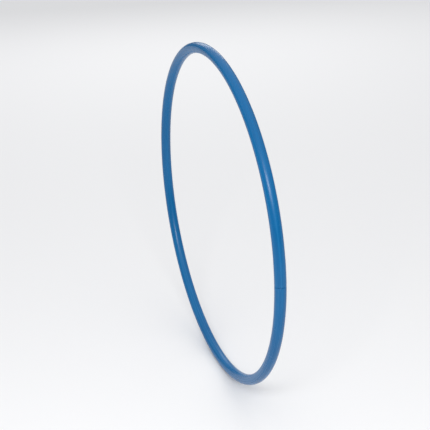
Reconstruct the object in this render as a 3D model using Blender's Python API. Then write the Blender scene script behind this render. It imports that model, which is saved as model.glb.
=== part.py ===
"""A plain 24 inch gymnastics hoop.

The ring is one length of extruded polyethylene tube bent into a circle.  Its two ends butt
together over a moulded, barbed plug, and two staples on each side of the seam go through the
tube's wall into the plug.

Metres, +Z up.  The ring stands upright in the XZ plane and its axis is +Y.  The origin is the
centre of the ring and the seam is at +X.  Angles round the ring start at +X and grow towards +Z.
"""

import math

import bmesh
import bpy
from mathutils import Vector

# The ring and its tube
HOOP_OUTER_DIAMETER = 0.610
TUBE_OUTER_DIAMETER = 0.019
TUBE_WALL = 0.0018
SEAM_GAP = 0.0004
TUBE_END_CHAMFER = 0.0003

# Clearances
PLUG_CLEARANCE = 0.0003
STAPLE_CLEARANCE = 0.0003

# Staples: flat wire, bent into a U and driven in from the inside of the ring
STAPLE_CROWN = 0.010
STAPLE_LEG = 0.008
STAPLE_WIRE_WIDTH = 0.00125
STAPLE_WIRE_THICKNESS = 0.0009
STAPLE_INNER_BEND = 0.0005
STAPLE_POINT_LENGTH = 0.0011
STAPLE_EDGE_ROUND = 0.00012
STAPLE_PROUD = 0.0003
SEAM_TO_FIRST_STAPLE = 0.011

# The plug: smooth lands under the staples, with barbs between and beyond them
LAND_MARGIN = 0.0015
BARB_PITCH = 0.0025
BARB_DEPTH = 0.0007
BARB_BACK = 0.0003
BARBS_BETWEEN_STAPLES = 2
BARBS_AT_TIP = 3
NOSE_LENGTH = 0.003
NOSE_TAPER = 0.0016
NOSE_ROUND = 0.0008

# Facets
SECTION_SIDES = 20
STEPS_PER_PLUG_HALF = 8
STEPS_ROUND_RING = 96
BEND_STEPS = 4
LAND_STEP = 0.006
SHARP_ANGLE = math.radians(32)

# Places worked out from the sizes above
TUBE_RADIUS = TUBE_OUTER_DIAMETER / 2
BORE_RADIUS = TUBE_RADIUS - TUBE_WALL
RING_RADIUS = HOOP_OUTER_DIAMETER / 2 - TUBE_RADIUS
RING_INNER_RADIUS = RING_RADIUS - TUBE_RADIUS
LAND_RADIUS = BORE_RADIUS - PLUG_CLEARANCE
BARB_ROOT_RADIUS = LAND_RADIUS - BARB_DEPTH
FIRST_LAND_END = SEAM_TO_FIRST_STAPLE + STAPLE_CROWN / 2 + LAND_MARGIN
SECOND_LAND_START = FIRST_LAND_END + BARBS_BETWEEN_STAPLES * BARB_PITCH
SEAM_TO_SECOND_STAPLE = SECOND_LAND_START + LAND_MARGIN + STAPLE_CROWN / 2
SECOND_LAND_END = SEAM_TO_SECOND_STAPLE + STAPLE_CROWN / 2 + LAND_MARGIN
TIP_BARBS_END = SECOND_LAND_END + BARBS_AT_TIP * BARB_PITCH
PLUG_HALF_LENGTH = TIP_BARBS_END + NOSE_LENGTH
STAPLE_SEAT_RADIUS = RING_INNER_RADIUS - STAPLE_PROUD


def remove_existing_objects():
    """Empty the scene."""
    for old in list(bpy.data.objects):
        bpy.data.objects.remove(old, do_unlink=True)


def make_material(name, colour, roughness, metallic):
    """A Principled material of one colour."""
    material = bpy.data.materials.new(name)
    material.use_nodes = True
    shader = material.node_tree.nodes["Principled BSDF"]
    shader.inputs["Base Color"].default_value = (*colour, 1.0)
    shader.inputs["Roughness"].default_value = roughness
    shader.inputs["Metallic"].default_value = metallic
    return material


def make_mesh(name, bm):
    """Close the bmesh off into a smooth-shaded mesh with its faces pointing out."""
    bmesh.ops.recalc_face_normals(bm, faces=bm.faces)
    mesh = bpy.data.meshes.new(name)
    bm.to_mesh(mesh)
    bm.free()
    mesh.shade_smooth()
    mesh.set_sharp_from_angle(angle=SHARP_ANGLE)
    return mesh


def make_object(name, mesh, parent, material=None):
    """An object for one sub-part, held by the empty at the ring's centre."""
    part = bpy.data.objects.new(name, mesh)
    bpy.context.scene.collection.objects.link(part)
    part.parent = parent
    if material is not None:
        part.data.materials.append(material)
    return part


def ring_point(angle, outward, across):
    """A point of a cross-section of the ring: outward from the tube's centre line, and along Y."""
    radius = RING_RADIUS + outward
    return Vector((radius * math.cos(angle), across, radius * math.sin(angle)))


def section_loop(bm, angle, section_radius):
    """The vertices of one round cross-section at an angle round the ring."""
    loop = []
    for side in range(SECTION_SIDES):
        turn = 2 * math.pi * side / SECTION_SIDES
        outward = section_radius * math.cos(turn)
        across = section_radius * math.sin(turn)
        loop.append(bm.verts.new(ring_point(angle, outward, across)))
    return loop


def join_loops(bm, first, second):
    """Quads between two loops of the same length, and the faces they make."""
    faces = []
    for side in range(len(first)):
        after = (side + 1) % len(first)
        corners = (first[side], first[after], second[after], second[side])
        faces.append(bm.faces.new(corners))
    return faces


def spin_on(bm, section, angle, steps):
    """Sweep a section on round the ring and return the section at the far end."""
    swept = bmesh.ops.spin(
        bm, geom=section, cent=(0, 0, 0), axis=(0, -1, 0), angle=angle, steps=steps
    )
    return swept["geom_last"]


def is_outer_rim(edge):
    """True for an edge between the tube's outer wall and one of its cut ends."""
    if edge.calc_face_angle(0.0) < math.radians(60):
        return False
    for vertex in edge.verts:
        outward = math.hypot(vertex.co.x, vertex.co.z) - RING_RADIUS
        if math.hypot(outward, vertex.co.y) < TUBE_RADIUS - TUBE_WALL / 2:
            return False
    return True


def tube_mesh():
    """The tube: a round wall swept from one side of the seam to the other."""
    half_gap = SEAM_GAP / 2 / RING_RADIUS
    plug_turn = PLUG_HALF_LENGTH / RING_RADIUS
    bm = bmesh.new()
    outer = section_loop(bm, half_gap, TUBE_RADIUS)
    inner = section_loop(bm, half_gap, BORE_RADIUS)
    section = outer + inner + join_loops(bm, outer, inner)
    section += [edge for edge in bm.edges]
    section = spin_on(bm, section, plug_turn, STEPS_PER_PLUG_HALF)
    section = spin_on(bm, section, 2 * (math.pi - half_gap - plug_turn), STEPS_ROUND_RING)
    spin_on(bm, section, plug_turn, STEPS_PER_PLUG_HALF)
    bmesh.ops.recalc_face_normals(bm, faces=bm.faces)
    rims = [edge for edge in bm.edges if is_outer_rim(edge)]
    bmesh.ops.bevel(bm, geom=rims, offset=TUBE_END_CHAMFER, segments=1, affect="EDGES")
    return make_mesh("hoop_tube", bm)


def barb_points(start, count):
    """Distance and radius of each corner of a row of barbs, which slope down towards the tip."""
    points = []
    for barb in range(count):
        back = start + barb * BARB_PITCH
        points.append((back + BARB_BACK, BARB_ROOT_RADIUS))
        points.append((back + 2 * BARB_BACK, LAND_RADIUS))
        points.append((back + BARB_PITCH, BARB_ROOT_RADIUS))
    return points


def land_points(start, end):
    """Distance and radius along a smooth land, with stops enough to follow the ring's curve."""
    stops = max(1, math.ceil((end - start) / LAND_STEP))
    return [(start + (end - start) * stop / stops, LAND_RADIUS) for stop in range(stops + 1)]


def plug_half_points():
    """Distance from the seam and radius of each corner of half the plug, out to its tip."""
    tip_radius = BARB_ROOT_RADIUS - NOSE_TAPER
    points = land_points(0.0, FIRST_LAND_END)
    points += barb_points(FIRST_LAND_END, BARBS_BETWEEN_STAPLES)
    points += land_points(SECOND_LAND_START + BARB_BACK, SECOND_LAND_END)
    points += barb_points(SECOND_LAND_END, BARBS_AT_TIP)
    points.append((PLUG_HALF_LENGTH - NOSE_ROUND, tip_radius))
    points.append((PLUG_HALF_LENGTH, tip_radius - NOSE_ROUND))
    return points


def plug_mesh():
    """The plug: round sections of changing radius along the tube's centre line."""
    half = plug_half_points()
    whole = [(-distance, radius) for distance, radius in reversed(half[1:])] + half
    bm = bmesh.new()
    loops = [section_loop(bm, distance / RING_RADIUS, radius) for distance, radius in whole]
    for near, far in zip(loops, loops[1:]):
        join_loops(bm, near, far)
    bm.faces.new(loops[0])
    bm.faces.new(reversed(loops[-1]))
    bmesh.ops.translate(bm, verts=bm.verts, vec=(-RING_RADIUS, 0, 0))
    return make_mesh("joint_plug", bm)


def extrude_outline(outline, width):
    """A solid from an outline of (X, Z) points, centred on Y."""
    bm = bmesh.new()
    corners = [bm.verts.new((x, -width / 2, z)) for x, z in outline]
    face = bm.faces.new(corners)
    raised = bmesh.ops.extrude_face_region(bm, geom=[face])
    moved = [item for item in raised["geom"] if isinstance(item, bmesh.types.BMVert)]
    bmesh.ops.translate(bm, verts=moved, vec=(0, width, 0))
    bmesh.ops.recalc_face_normals(bm, faces=bm.faces)
    return bm


def bend_points(corner_x, corner_z, radius):
    """The arc that rounds a corner of the U at its +X end, from the leg round to the crown.

    A corner with no radius left stays sharp.
    """
    if radius <= 0:
        return [(corner_x, corner_z)]
    points = []
    for step in range(BEND_STEPS + 1):
        turn = math.pi / 2 * step / BEND_STEPS
        x = corner_x - radius + radius * math.cos(turn)
        z = corner_z + radius - radius * math.sin(turn)
        points.append((x, z))
    return points


def mirrored(points):
    """The same points on the -X side, in the opposite order."""
    return [(-x, z) for x, z in reversed(points)]


def staple_outline():
    """The staple from the side: its crown along X at Z = 0 and its legs towards +Z."""
    outside = STAPLE_CROWN / 2
    inside = outside - STAPLE_WIRE_THICKNESS
    shoulder = STAPLE_LEG - STAPLE_POINT_LENGTH
    outer = [(outside, shoulder)]
    outer += bend_points(outside, 0.0, STAPLE_INNER_BEND + STAPLE_WIRE_THICKNESS)
    inner = list(reversed(bend_points(inside, STAPLE_WIRE_THICKNESS, STAPLE_INNER_BEND)))
    inner.append((inside, shoulder))
    inner.append((outside - STAPLE_WIRE_THICKNESS / 2, STAPLE_LEG))
    return outer + mirrored(outer) + mirrored(inner) + inner


def staple_mesh():
    """One staple: flat wire with its long edges eased."""
    bm = extrude_outline(staple_outline(), STAPLE_WIRE_WIDTH)
    side_faces = [face for face in bm.faces if abs(face.normal.y) > 0.9]
    rims = list({edge for face in side_faces for edge in face.edges})
    bmesh.ops.bevel(bm, geom=rims, offset=STAPLE_EDGE_ROUND, segments=1, affect="EDGES")
    return make_mesh("staple", bm)


def staple_slot_mesh():
    """What one staple presses out: a seat for its crown and a slot for each leg."""
    outside = STAPLE_CROWN / 2 + STAPLE_CLEARANCE
    inside = STAPLE_CROWN / 2 - STAPLE_WIRE_THICKNESS - STAPLE_CLEARANCE
    seat = STAPLE_WIRE_THICKNESS + STAPLE_CLEARANCE
    bottom = STAPLE_LEG + STAPLE_CLEARANCE
    above_wall = -TUBE_WALL
    half = bend_points(inside, seat, STAPLE_INNER_BEND - STAPLE_CLEARANCE)
    half.reverse()
    half += [(inside, bottom), (outside, bottom), (outside, above_wall)]
    width = STAPLE_WIRE_WIDTH + 2 * STAPLE_CLEARANCE
    return make_mesh("staple_slot", extrude_outline(half + mirrored(half), width))


def place_at_seam(part, distance):
    """Put a staple or its cutter on the inside of the ring, legs outward, beside the seam."""
    angle = distance / RING_RADIUS
    part.location = (
        STAPLE_SEAT_RADIUS * math.cos(angle),
        0.0,
        STAPLE_SEAT_RADIUS * math.sin(angle),
    )
    part.rotation_euler = (0.0, math.pi / 2 - angle, 0.0)


def cut(part, cutter):
    """Take the cutter's shape out of the part."""
    boolean = part.modifiers.new(cutter.name, "BOOLEAN")
    boolean.operation = "DIFFERENCE"
    boolean.solver = "EXACT"
    boolean.object = cutter


def build_hoop():
    """All the sub-parts of the hoop."""
    blue = make_material("hoop_blue", (0.010, 0.120, 0.330), 0.34, 0.0)
    natural = make_material("plug_natural", (0.690, 0.680, 0.630), 0.48, 0.0)
    zinc = make_material("staple_zinc", (0.600, 0.600, 0.590), 0.30, 1.0)

    centre = bpy.data.objects.new("ring_centre", None)
    bpy.context.scene.collection.objects.link(centre)

    tube = make_object("hoop_tube", tube_mesh(), centre, blue)
    plug = make_object("joint_plug", plug_mesh(), centre, natural)
    plug.location = (RING_RADIUS, 0.0, 0.0)

    wire = staple_mesh()
    wire.materials.append(zinc)
    slot = staple_slot_mesh()
    distances = (
        -SEAM_TO_SECOND_STAPLE,
        -SEAM_TO_FIRST_STAPLE,
        SEAM_TO_FIRST_STAPLE,
        SEAM_TO_SECOND_STAPLE,
    )
    for number, distance in enumerate(distances, start=1):
        staple = make_object(f"staple_{number}", wire, centre)
        place_at_seam(staple, distance)
        cutter = make_object(f"staple_{number}_slot", slot, centre)
        cutter.hide_render = True
        cutter.display_type = "WIRE"
        place_at_seam(cutter, distance)
        cut(tube, cutter)
        cut(plug, cutter)


remove_existing_objects()
build_hoop()
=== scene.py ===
"""Looks of the plain blue gymnastics hoop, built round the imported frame.

The ring stands upright in the XZ plane, its axis is Y, and its seam is at +X.  Places on the
tube are given as an arc distance from the seam along the tube's centre line, and a turn round
the tube's section that starts at the outside of the ring.
"""

import math

import bmesh
import bpy
import numpy as np
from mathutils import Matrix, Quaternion, Vector, noise


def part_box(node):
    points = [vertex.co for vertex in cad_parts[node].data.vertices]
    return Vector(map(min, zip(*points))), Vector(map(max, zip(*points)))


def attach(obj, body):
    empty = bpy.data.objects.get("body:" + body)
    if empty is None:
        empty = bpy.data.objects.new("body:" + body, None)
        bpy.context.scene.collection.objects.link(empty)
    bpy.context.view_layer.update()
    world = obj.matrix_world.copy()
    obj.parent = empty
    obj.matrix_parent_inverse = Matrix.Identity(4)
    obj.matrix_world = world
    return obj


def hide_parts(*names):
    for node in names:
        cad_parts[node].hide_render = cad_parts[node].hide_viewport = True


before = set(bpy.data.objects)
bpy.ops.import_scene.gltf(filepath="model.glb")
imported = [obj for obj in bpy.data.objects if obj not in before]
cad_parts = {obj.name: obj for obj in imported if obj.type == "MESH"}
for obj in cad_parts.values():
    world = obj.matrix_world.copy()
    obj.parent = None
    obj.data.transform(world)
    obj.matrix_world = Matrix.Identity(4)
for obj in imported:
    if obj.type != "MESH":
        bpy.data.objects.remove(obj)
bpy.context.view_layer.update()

# Sizes read from the frame
TUBE_LOW, TUBE_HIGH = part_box("hoop_tube")
PLUG_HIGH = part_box("joint_plug")[1]
TUBE_RADIUS = TUBE_HIGH.y
RING_RADIUS = TUBE_HIGH.x - TUBE_RADIUS
PLUG_HALF_LENGTH = RING_RADIUS * math.asin(PLUG_HIGH.z / RING_RADIUS)
PLUG_RADIUS = PLUG_HIGH.y

# The tube's fine shape
FIT_GAP = 0.0003
BORE_RADIUS = PLUG_RADIUS + FIT_GAP
HALF_SEAM = 0.0002
END_ROUND = 0.0004
END_ROUND_SHARES = (0.0, 0.08, 0.3, 0.6)
SWELL = 0.00012
SWELL_FADE_BEFORE = 0.006
SWELL_FADE_AFTER = 0.001
WAVE = 0.00003
WAVES_ALONG = 22
WAVES_ROUND = 1.6
STAPLE_NAMES = ("staple_1", "staple_2", "staple_3", "staple_4")
CROWN_HALF = 0.005
CROWN_HALF_WIDTH = 0.000625
DENT_CLEAR = 0.00008
DENT_DEPTH = 0.00063
DENT_EDGE = 0.00025
LIP_HEIGHT = 0.00010
LIP_DISTANCE = 0.00050
LIP_WIDTH = 0.00022

# How fine the tube's mesh is
STAPLE_STEP = 0.00025
JOINT_STEP = 0.0010
RING_STEP = 0.0045
STAPLE_MARGIN = 0.0015
STAPLE_REACH = CROWN_HALF + STAPLE_MARGIN
JOINT_MARGIN = 0.006
JOINT_REACH = PLUG_HALF_LENGTH + JOINT_MARGIN
INSIDE_SECTOR = math.radians(16)
INSIDE_SIDES = 36
OTHER_SIDES = 48
BORE_SIDES = 32

# How edges are shaded, and how the staples' meshes are cleaned up
SHARP_ANGLE = math.radians(40)
CORNER_ANGLE = math.radians(30)
FLAT_ANGLE = math.radians(1)
MERGE_DISTANCE = 0.000002
WIRE_EDGE_ROUND = 0.00005


def smooth_step(low, high, value):
    """0 below low, 1 above high, and a smooth rise between them."""
    share = np.clip((value - low) / (high - low), 0.0, 1.0)
    return share * share * (3 - 2 * share)


def staple_distance(name):
    """Arc distance of a staple's middle from the seam, negative below it."""
    points = np.array([vertex.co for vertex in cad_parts[name].data.vertices])
    middle = np.unique(points.round(7), axis=0).mean(axis=0)
    return RING_RADIUS * math.atan2(middle[2], middle[0])


STAPLE_DISTANCES = [staple_distance(name) for name in STAPLE_NAMES]


def ring_points(distances, turns, radii):
    """Points of the tube for arrays of arc distances, turns round the section, and radii."""
    angles = distances / RING_RADIUS
    out = RING_RADIUS + radii * np.cos(turns)
    return np.stack((out * np.cos(angles), radii * np.sin(turns), out * np.sin(angles)), axis=-1)


def spaced(start, end, step):
    """Evenly spaced values from start to end, about a step apart, without the end."""
    count = max(1, round((end - start) / step))
    return np.linspace(start, end, count, endpoint=False)


def tube_stations():
    """Arc distances of the tube's sections, close together at the cut ends and the staples."""
    length = 2 * math.pi * RING_RADIUS
    marks = [HALF_SEAM + END_ROUND * share for share in END_ROUND_SHARES]
    breaks = [HALF_SEAM + END_ROUND]
    steps = []
    for distance in sorted(abs(value) for value in STAPLE_DISTANCES)[::2]:
        breaks += [distance - STAPLE_REACH, distance + STAPLE_REACH]
        steps += [JOINT_STEP, STAPLE_STEP]
    breaks += [JOINT_REACH, length / 2]
    steps += [JOINT_STEP, RING_STEP]
    half = list(marks)
    for start, end, step in zip(breaks, breaks[1:], steps):
        half += list(spaced(start, end, step))
    half = np.array(half)
    return np.concatenate((half, [length / 2], length - half[::-1]))


def section_turns():
    """Turns round the section, close together at the inside of the ring, where the staples are."""
    near = spaced(math.pi - INSIDE_SECTOR, math.pi + INSIDE_SECTOR, 2 * INSIDE_SECTOR / INSIDE_SIDES)
    others = 2 * (math.pi - INSIDE_SECTOR)
    far = spaced(math.pi + INSIDE_SECTOR, 3 * math.pi - INSIDE_SECTOR, others / OTHER_SIDES)
    return np.concatenate((near, far))


def distance_from_seam(distances):
    """The shorter way to the seam, negative on the side where the angle is negative."""
    length = 2 * math.pi * RING_RADIUS
    return (distances + length / 2) % length - length / 2


def outer_radii(distances, turns):
    """The tube's outer radius: swollen over the plug, eased at its ends, and pressed by staples."""
    beside = distance_from_seam(distances)
    from_end = np.abs(beside) - HALF_SEAM
    fade_start = PLUG_HALF_LENGTH - SWELL_FADE_BEFORE
    fade_end = PLUG_HALF_LENGTH + SWELL_FADE_AFTER
    over_plug = 1 - smooth_step(fade_start, fade_end, np.abs(beside))
    radii = TUBE_RADIUS - SWELL * (1 - over_plug)
    to_round = np.clip(1 - from_end / END_ROUND, 0.0, 1.0)
    radii = radii - END_ROUND * (1 - np.sqrt(1 - to_round**2))
    across = (turns % (2 * math.pi) - math.pi) * TUBE_RADIUS
    for middle in STAPLE_DISTANCES:
        along = np.abs(beside - middle) - CROWN_HALF - DENT_CLEAR
        aside = np.abs(across) - CROWN_HALF_WIDTH - DENT_CLEAR
        beyond = np.hypot(np.maximum(along, 0), np.maximum(aside, 0))
        edge = beyond + np.minimum(np.maximum(along, aside), 0)
        radii = radii - DENT_DEPTH * (1 - smooth_step(0.0, DENT_EDGE, edge))
        radii = radii + LIP_HEIGHT * np.exp(-(((edge - LIP_DISTANCE) / LIP_WIDTH) ** 2))
    return radii


def add_waves(distances, turns, radii):
    """A faint unevenness, as extruded tube has once it is bent into a ring."""
    waved = radii.copy()
    for index in np.ndindex(radii.shape):
        turn = turns[index]
        along = distances[index] * WAVES_ALONG
        place = Vector((along, WAVES_ROUND * math.cos(turn), WAVES_ROUND * math.sin(turn)))
        waved[index] -= WAVE * (1 + noise.noise(place))
    return waved


def grid_faces(first, rows, columns, flipped):
    """Quads of a grid of vertices whose columns close on themselves."""
    row, column = np.meshgrid(np.arange(rows - 1), np.arange(columns), indexing="ij")
    after = (column + 1) % columns
    corners = [row * columns + column, row * columns + after]
    corners += [(row + 1) * columns + after, (row + 1) * columns + column]
    if flipped:
        corners.reverse()
    return first + np.stack(corners, axis=-1).reshape(-1, 4)


def end_faces(first_outer, outer_turns, first_bore, bore_turns):
    """Triangles of a cut end, made by walking its outer and bore edges in step round the section."""
    start = int(np.searchsorted(bore_turns, outer_turns[0]))
    outer = [(turn, first_outer + index) for index, turn in enumerate(outer_turns)]
    bore = [(turn, first_bore + index) for index, turn in enumerate(bore_turns)]
    bore = bore[start:] + [(turn + 2 * math.pi, vertex) for turn, vertex in bore[:start]]
    for edge in (outer, bore):
        turn, vertex = edge[0]
        edge.append((turn + 2 * math.pi, vertex))
    faces = []
    while len(outer) > 1 or len(bore) > 1:
        walked = outer if len(bore) == 1 or (len(outer) > 1 and outer[1][0] < bore[1][0]) else bore
        faces.append((outer[0][1], walked[1][1], bore[0][1]))
        walked.pop(0)
    return faces


def make_tube_mesh():
    """The tube as one closed wall: outside, bore and two cut ends."""
    stations = tube_stations()
    turns = section_turns()
    distances, round_turns = np.meshgrid(stations, turns, indexing="ij")
    radii = add_waves(distances, round_turns, outer_radii(distances, round_turns))
    outside = ring_points(distances, round_turns, radii)
    bore_turns = np.linspace(0, 2 * math.pi, BORE_SIDES, endpoint=False)
    bore_distances, bore_round = np.meshgrid(stations, bore_turns, indexing="ij")
    bore = ring_points(bore_distances, bore_round, np.full(bore_round.shape, BORE_RADIUS))
    points = np.concatenate((outside.reshape(-1, 3), bore.reshape(-1, 3)))
    first_bore = outside.shape[0] * outside.shape[1]
    rows = len(stations)
    faces = np.concatenate(
        (
            grid_faces(0, rows, len(turns), False),
            grid_faces(first_bore, rows, BORE_SIDES, True),
        )
    )
    mesh = bpy.data.meshes.new("tube")
    ends = []
    for row in (0, rows - 1):
        ends += end_faces(row * len(turns), turns, first_bore + row * BORE_SIDES, bore_turns)
    mesh.from_pydata(points.tolist(), [], faces.tolist() + ends)
    store_straight_places(mesh, (distances, round_turns, radii), (bore_distances, bore_round))
    bm = bmesh.new()
    bm.from_mesh(mesh)
    bmesh.ops.recalc_face_normals(bm, faces=bm.faces)
    bm.to_mesh(mesh)
    bm.free()
    mesh.shade_smooth()
    mesh.set_sharp_from_angle(angle=SHARP_ANGLE)
    return mesh


def store_straight_places(mesh, outside, bore):
    """Each vertex's place on the tube before it was bent: along it, and across its section."""
    distances, turns, radii = (part.ravel() for part in outside)
    bore_distances, bore_turns = (part.ravel() for part in bore)
    along = np.concatenate((distances, bore_distances))
    round_turns = np.concatenate((turns, bore_turns))
    sizes = np.concatenate((radii, np.full(bore_distances.shape, BORE_RADIUS)))
    places = np.stack((along, sizes * np.cos(round_turns), sizes * np.sin(round_turns)), axis=-1)
    attribute = mesh.attributes.new("straight_place", "FLOAT_VECTOR", "POINT")
    attribute.data.foreach_set("vector", places.astype(np.float32).ravel())


# ---------------------------------------------------------------- materials


class Shading:
    """Builds one Principled material node by node."""

    def __init__(self, name):
        self.material = bpy.data.materials.new(name)
        self.material.use_nodes = True
        self.nodes = self.material.node_tree.nodes
        self.links = self.material.node_tree.links
        self.shader = self.nodes["Principled BSDF"]

    def set(self, **values):
        """Set constants on the shader's own sockets, with spaces written as underscores."""
        for name, value in values.items():
            self.shader.inputs[name.replace("_", " ")].default_value = value

    def feed(self, socket, output):
        """Feed one of the shader's sockets."""
        self.links.new(output, self.shader.inputs[socket])

    def node(self, kind, inputs=None, **properties):
        """A node, with its inputs set or linked by name or number."""
        made = self.nodes.new(kind)
        for name, value in properties.items():
            setattr(made, name, value)
        for name, value in (inputs or {}).items():
            if isinstance(value, bpy.types.NodeSocket):
                self.links.new(value, made.inputs[name])
            else:
                made.inputs[name].default_value = value
        return made

    def stretched(self, place, scale):
        """A place stretched differently along each axis."""
        made = self.node("ShaderNodeMapping", {"Vector": place, "Scale": scale})
        return made.outputs["Vector"]

    def noise(self, place, scale, detail=2.0, roughness=0.5):
        """Fractal noise between 0 and 1."""
        inputs = {"Vector": place, "Scale": scale, "Detail": detail, "Roughness": roughness}
        return self.node("ShaderNodeTexNoise", inputs).outputs["Fac"]

    def spread(self, value, low, high, to_low=0.0, to_high=1.0):
        """Map low..high to to_low..to_high, held at its ends."""
        inputs = {"Value": value, "From Min": low, "From Max": high, "To Min": to_low, "To Max": to_high}
        made = self.node("ShaderNodeMapRange", inputs)
        return made.outputs["Result"]

    def sum(self, first, second):
        """Two values added."""
        return self.node("ShaderNodeMath", {0: first, 1: second}, operation="ADD").outputs[0]

    def times(self, first, second):
        """Two values multiplied."""
        return self.node("ShaderNodeMath", {0: first, 1: second}, operation="MULTIPLY").outputs[0]

    def blend(self, share, first, second):
        """A colour between two colours."""
        made = self.node("ShaderNodeMix", {"Factor": share}, data_type="RGBA")
        for socket, value in ((made.inputs[6], first), (made.inputs[7], second)):
            if isinstance(value, bpy.types.NodeSocket):
                self.links.new(value, socket)
            else:
                socket.default_value = (*value, 1.0)
        return made.outputs[2]

    def bump(self, height, distance, strength=1.0):
        """Feed the shader's normal from a height, where 1 stands for a distance in metres."""
        inputs = {"Height": height, "Distance": distance, "Strength": strength}
        self.feed("Normal", self.node("ShaderNodeBump", inputs).outputs["Normal"])


BLUE = (0.002, 0.124, 0.325)
BLUE_DEEP = (0.001, 0.102, 0.278)
BLUE_PALE = (0.005, 0.154, 0.380)
SCUFF = (0.150, 0.270, 0.420)
MILKY_DARK = (0.62, 0.61, 0.55)
MILKY = (0.74, 0.73, 0.68)
MILKY_WARM = (0.68, 0.65, 0.56)
ZINC_DULL = (0.52, 0.52, 0.51)
ZINC_BRIGHT = (0.70, 0.70, 0.69)
TARNISH = (0.34, 0.31, 0.27)


def tube_plastic():
    """Extruded polyethylene: bands and streaks along the tube, cloudy pigment, handling marks."""
    shading = Shading("tube_plastic_fine")
    place = shading.node("ShaderNodeAttribute", attribute_name="straight_place").outputs["Vector"]
    clouds = shading.noise(shading.stretched(place, (9, 60, 60)), 1.0, detail=3.0)
    bands = shading.noise(shading.stretched(place, (1.3, 210, 210)), 1.0, detail=1.0)
    streaks = shading.noise(shading.stretched(place, (2.2, 900, 900)), 1.0, detail=3.0, roughness=0.6)
    fine = shading.noise(shading.stretched(place, (26, 3200, 3200)), 1.0)
    orange_peel = shading.noise(place, 900.0, detail=2.0)
    rubs = shading.noise(shading.stretched(place, (420, 110, 110)), 1.0, detail=4.0, roughness=0.65)
    scratches = shading.noise(shading.stretched(place, (90, 2600, 420)), 1.0, detail=3.0, roughness=0.7)
    patches = shading.noise(place, 14.0, detail=2.0)

    pigment = shading.blend(shading.spread(clouds, 0.35, 0.65), BLUE_DEEP, BLUE)
    pigment = shading.blend(shading.spread(bands, 0.35, 0.68, 0.0, 0.50), pigment, BLUE_PALE)
    pigment = shading.blend(shading.spread(streaks, 0.46, 0.80, 0.0, 0.60), pigment, BLUE_PALE)
    handled = shading.spread(patches, 0.46, 0.62)
    scratched = shading.spread(scratches, 0.66, 0.74, 0.0, 0.8)
    worn = shading.sum(shading.spread(rubs, 0.61, 0.73), scratched)
    scuffed = shading.times(worn, handled)
    pigment = shading.blend(shading.times(scuffed, 0.26), pigment, SCUFF)
    shading.feed("Base Color", pigment)

    roughness = shading.sum(
        shading.spread(streaks, 0.30, 0.70, 0.22, 0.30),
        shading.spread(clouds, 0.30, 0.70, -0.02, 0.04),
    )
    roughness = shading.sum(roughness, shading.times(scuffed, 0.22))
    shading.feed("Roughness", roughness)

    height = shading.sum(shading.times(streaks, 0.55), shading.times(fine, 0.20))
    height = shading.sum(height, shading.times(orange_peel, 0.25))
    height = shading.sum(height, shading.times(scuffed, -0.12))
    shading.bump(height, 0.00007, 0.5)
    shading.set(IOR=1.51, Specular_IOR_Level=0.28)
    return shading.material


def plug_plastic():
    """Natural moulded polyethylene: milky, with flow clouds and a fine moulded grain."""
    shading = Shading("plug_plastic_fine")
    place = shading.node("ShaderNodeTexCoord").outputs["Object"]
    clouds = shading.noise(place, 90.0, detail=3.0)
    grain = shading.noise(place, 2600.0, detail=2.0)
    flow = shading.noise(shading.stretched(place, (500, 500, 60)), 1.0, detail=2.0)
    milky = shading.blend(shading.spread(clouds, 0.35, 0.65), MILKY_DARK, MILKY)
    flowed = shading.spread(flow, 0.5, 0.8, 0.0, 0.4)
    shading.feed("Base Color", shading.blend(flowed, milky, MILKY_WARM))
    shading.feed("Roughness", shading.spread(grain, 0.3, 0.7, 0.42, 0.56))
    shading.bump(shading.sum(shading.times(grain, 0.6), shading.times(flow, 0.4)), 0.00005, 0.5)
    shading.set(IOR=1.51, Subsurface_Weight=0.15, Subsurface_Scale=0.002)
    return shading.material


def staple_zinc():
    """Zinc-plated drawn wire: lines along the wire, dull spots and a little tarnish."""
    shading = Shading("staple_wire_fine")
    place = shading.node("ShaderNodeTexCoord").outputs["Object"]
    drawn = shading.noise(shading.stretched(place, (9000, 9000, 300)), 1.0, detail=2.0)
    spots = shading.noise(place, 1400.0, detail=3.0)
    tarnish = shading.spread(spots, 0.55, 0.75)
    bright = shading.blend(shading.spread(drawn, 0.3, 0.7), ZINC_DULL, ZINC_BRIGHT)
    shading.feed("Base Color", shading.blend(shading.times(tarnish, 0.55), bright, TARNISH))
    roughness = shading.sum(shading.spread(drawn, 0.3, 0.7, 0.24, 0.36), shading.times(tarnish, 0.22))
    shading.feed("Roughness", roughness)
    shading.bump(drawn, 0.00002, 0.6)
    shading.set(Metallic=1.0)
    return shading.material


# ---------------------------------------------------------------- pieces


def show(name, mesh, material, node):
    """One visible piece, standing for a node of the frame."""
    piece = bpy.data.objects.new(name, mesh)
    bpy.context.scene.collection.objects.link(piece)
    piece.data.materials.clear()
    piece.data.materials.append(material)
    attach(piece, "root")
    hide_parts(node)
    return piece


def make_staple_mesh(node):
    """A node's staple with its facets cleaned up and its long edges rounded off."""
    bm = bmesh.new()
    bm.from_mesh(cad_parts[node].data)
    bmesh.ops.remove_doubles(bm, verts=bm.verts, dist=MERGE_DISTANCE)
    bmesh.ops.dissolve_limit(bm, angle_limit=FLAT_ANGLE, verts=bm.verts, edges=bm.edges)
    bmesh.ops.recalc_face_normals(bm, faces=bm.faces)
    sharp = [edge for edge in bm.edges if edge.calc_face_angle(0.0) > CORNER_ANGLE]
    bmesh.ops.bevel(bm, geom=sharp, offset=WIRE_EDGE_ROUND, segments=2, profile=0.5, affect="EDGES")
    mesh = bpy.data.meshes.new(node)
    bm.to_mesh(mesh)
    bm.free()
    mesh.shade_smooth()
    mesh.set_sharp_from_angle(angle=SHARP_ANGLE)
    return mesh


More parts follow.
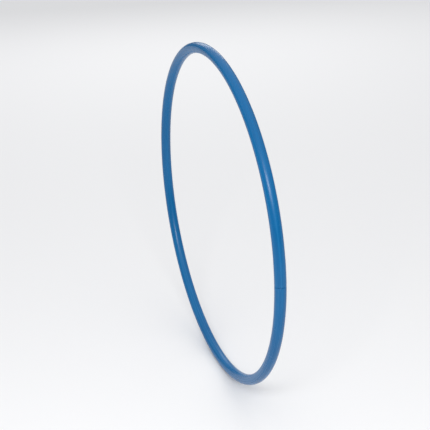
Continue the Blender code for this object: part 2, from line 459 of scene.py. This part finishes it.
def add_pieces():
    """The tube, the plug and the staples."""
    blue = tube_plastic()
    milky = plug_plastic()
    zinc = staple_zinc()
    show("tube", make_tube_mesh(), blue, "hoop_tube")
    for name in STAPLE_NAMES:
        show(name + "_wire", make_staple_mesh(name), zinc, name)
    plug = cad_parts["joint_plug"]
    plug.data.materials.clear()
    plug.data.materials.append(milky)


# ---------------------------------------------------------------- stage

FLOOR_HALF_SIZE = 14.0
FLOOR_COLOUR = (0.87, 0.87, 0.87)
FLOOR_ROUGHNESS = 0.8

# Heights of the sky from 0 at the horizon to 1 overhead, and the strengths there
SKY_COLOUR = (0.975, 0.98, 1.0)
LIGHTING_SKY = {"From Min": 0.0, "From Max": 0.8, "To Min": 0.10, "To Max": 1.0}
SEEN_SKY = {"From Min": 0.0, "From Max": 0.3, "To Min": 0.71, "To Max": 0.90}

CAMERA_AZIMUTH = 71.4
CAMERA_ELEVATION = 23.4
CAMERA_DISTANCE = 1.712
CAMERA_ROLL = 2.4
LENS = 80.6
SENSOR_WIDTH = 36.0


def plain_material(name, colour, roughness):
    """A plain matt surface for the stage."""
    shading = Shading(name)
    shading.set(Base_Color=(*colour, 1.0), Roughness=roughness)
    return shading.material


def add_floor():
    """A pale floor that the hoop's lowest point touches."""
    size = FLOOR_HALF_SIZE
    mesh = bpy.data.meshes.new("floor")
    corners = [(-size, -size), (size, -size), (size, size), (-size, size)]
    level = TUBE_LOW.z
    mesh.from_pydata([(x, y, level) for x, y in corners], [], [(0, 1, 2, 3)])
    floor = bpy.data.objects.new("floor", mesh)
    bpy.context.scene.collection.objects.link(floor)
    mesh.materials.append(plain_material("floor_pale", FLOOR_COLOUR, FLOOR_ROUGHNESS))


def add_area_light(name, place, width, height, power):
    """A soft rectangular light aimed at the ring's centre, and unseen by the camera."""
    light = bpy.data.lights.new(name, "AREA")
    light.shape = "RECTANGLE"
    light.size = width
    light.size_y = height
    light.energy = power
    lamp = bpy.data.objects.new(name, light)
    lamp.location = place
    lamp.rotation_euler = (-place).to_track_quat("-Z", "Y").to_euler()
    lamp.visible_camera = False
    bpy.context.scene.collection.objects.link(lamp)


def direction(azimuth, elevation):
    """Unit vector from the hoop towards an azimuth, from -Y towards +X, and an elevation."""
    turn = math.radians(azimuth)
    rise = math.radians(elevation)
    level = math.cos(rise)
    return Vector((math.sin(turn) * level, -math.cos(turn) * level, math.sin(rise)))


def add_world():
    """A soft overhead glow that thins out towards the horizon, seen as a pale backdrop."""
    world = bpy.data.worlds.new("studio")
    world.use_nodes = True
    nodes = world.node_tree.nodes
    links = world.node_tree.links
    surround = nodes["Background"]
    surround.inputs["Color"].default_value = (*SKY_COLOUR, 1.0)
    height = nodes.new("ShaderNodeSeparateXYZ")
    links.new(nodes.new("ShaderNodeTexCoord").outputs["Generated"], height.inputs[0])
    glow = nodes.new("ShaderNodeMapRange")
    glow.interpolation_type = "SMOOTHSTEP"
    backdrop = nodes.new("ShaderNodeMapRange")
    for ramp, values in ((glow, LIGHTING_SKY), (backdrop, SEEN_SKY)):
        links.new(height.outputs["Z"], ramp.inputs["Value"])
        for name, value in values.items():
            ramp.inputs[name].default_value = value
    seen = nodes.new("ShaderNodeMix")
    links.new(nodes.new("ShaderNodeLightPath").outputs["Is Camera Ray"], seen.inputs["Factor"])
    links.new(glow.outputs["Result"], seen.inputs["A"])
    links.new(backdrop.outputs["Result"], seen.inputs["B"])
    links.new(seen.outputs["Result"], surround.inputs["Strength"])
    bpy.context.scene.world = world


def add_lights():
    """A key light high in front of the ring, and a bright panel behind it for its top edge."""
    add_area_light("key", direction(68, 34) * 1.7, width=0.90, height=0.32, power=13)
    add_area_light("back", direction(254, 21) * 3.2, width=2.0, height=0.6, power=10)


def add_camera():
    """The camera at the photographed viewing angle and distance, aimed at the ring's centre."""
    data = bpy.data.cameras.new("camera")
    data.lens = LENS
    data.sensor_width = SENSOR_WIDTH
    camera = bpy.data.objects.new("camera", data)
    camera.location = direction(CAMERA_AZIMUTH, CAMERA_ELEVATION) * CAMERA_DISTANCE
    level = (-camera.location).to_track_quat("-Z", "Y")
    roll = Quaternion((0, 0, 1), -math.radians(CAMERA_ROLL))
    camera.rotation_euler = (level @ roll).to_euler()
    bpy.context.scene.collection.objects.link(camera)
    bpy.context.scene.camera = camera


add_pieces()
add_floor()
add_world()
add_lights()
add_camera()
bpy.context.scene.view_settings.view_transform = "Standard"

bpy.context.view_layer.update()
